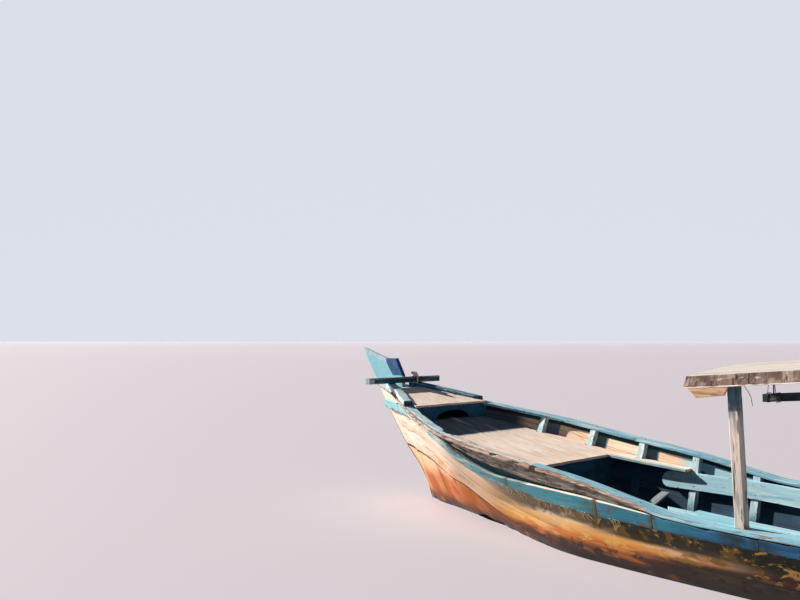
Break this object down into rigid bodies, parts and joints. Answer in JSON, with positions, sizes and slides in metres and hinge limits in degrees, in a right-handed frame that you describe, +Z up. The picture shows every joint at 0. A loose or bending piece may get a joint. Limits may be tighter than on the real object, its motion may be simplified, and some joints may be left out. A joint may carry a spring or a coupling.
{
  "type": "longtail boat",
  "caption": "Wooden longtail boat: flared planked hull with a tall board prow, open cockpit, crowned canopy on leaning posts, and a stern motor on a swivel with a long propeller tail.",
  "frame": {"origin": "on the waterline and the centre plane, midway along the hull's waterline", "axes": "+X to the bow, +Y to port, +Z up"},
  "size_m": [12.6431, 2.14, 2.1338],
  "materials": {
    "log_wood": "matte",
    "plank_paint": "matte",
    "wale_paint": "matte",
    "prow_paint": "matte",
    "rail_paint": "matte",
    "bare_wood": "matte",
    "deck_wood": "matte",
    "dark_paint": "matte",
    "rib_paint": "matte",
    "roof_paint": "matte",
    "post_paint": "matte",
    "frame_steel": "satin",
    "engine_casting": "satin",
    "tank_plastic": "matte",
    "propeller_brass": "satin"
  },
  "bodies": {
    "hull": {"keel_log": "log_wood", "side_planks_fore_port": "plank_paint", "side_planks_fore_starboard": "plank_paint", "side_planks_aft_port": "plank_paint", "side_planks_aft_starboard": "plank_paint", "wale_port": "wale_paint", "wale_starboard": "wale_paint", "bulwark_port": "bare_wood", "bulwark_starboard": "bare_wood", "cap_rail_port": "rail_paint", "cap_rail_starboard": "rail_paint", "prow_board": "prow_paint", "toe_rail_port": "rail_paint", "toe_rail_starboard": "rail_paint", "crossbeam": "dark_paint", "foredeck": "deck_wood", "main_deck": "deck_wood", "ribs_port": "rib_paint", "ribs_starboard": "rib_paint", "fore_bulkhead": "dark_paint", "mid_bulkhead": "rib_paint", "aft_bulkhead": "rib_paint", "aft_deck": "deck_wood", "transom": "wale_paint", "floorboards": "deck_wood", "side_deck_port": "rail_paint", "roof_panel": "roof_paint", "roof_beam_fore": "deck_wood", "roof_beam_mid": "deck_wood", "roof_beam_aft": "deck_wood", "fascia_port": "roof_paint", "fascia_starboard": "roof_paint", "bracket_board_port": "deck_wood", "bracket_board_starboard": "deck_wood", "post_fore_port": "post_paint", "post_fore_starboard": "post_paint", "post_aft_port": "post_paint", "post_aft_starboard": "post_paint", "slung_bar": "dark_paint", "motor_post": "deck_wood"},
    "swivel": {"swivel_yoke": "frame_steel"},
    "motor": {"engine_cradle": "frame_steel", "engine_block": "engine_casting", "fuel_tank": "tank_plastic", "exhaust_pipe": "frame_steel", "tiller": "frame_steel", "tail_tube": "frame_steel"},
    "propeller": {"propeller": "propeller_brass"}
  },
  "joints": [
    {"name": "motor_swivel", "type": "hinge", "parent": "hull", "child": "swivel", "pos_m": [-4.13, 0, 0.9], "axis": [0, 0, 1], "range_deg": [-40, 40]},
    {"name": "motor_tilt", "type": "hinge", "parent": "swivel", "child": "motor", "pos_m": [-4.13, 0, 1.04], "axis": [0, 1, 0], "range_deg": [-22, 14]},
    {"name": "propeller_spin", "type": "hinge", "parent": "motor", "child": "propeller", "pos_m": [-7.01894, 0, 0.73636], "axis": [-0.9945, 0, -0.1045], "continuous": true}
  ]
}
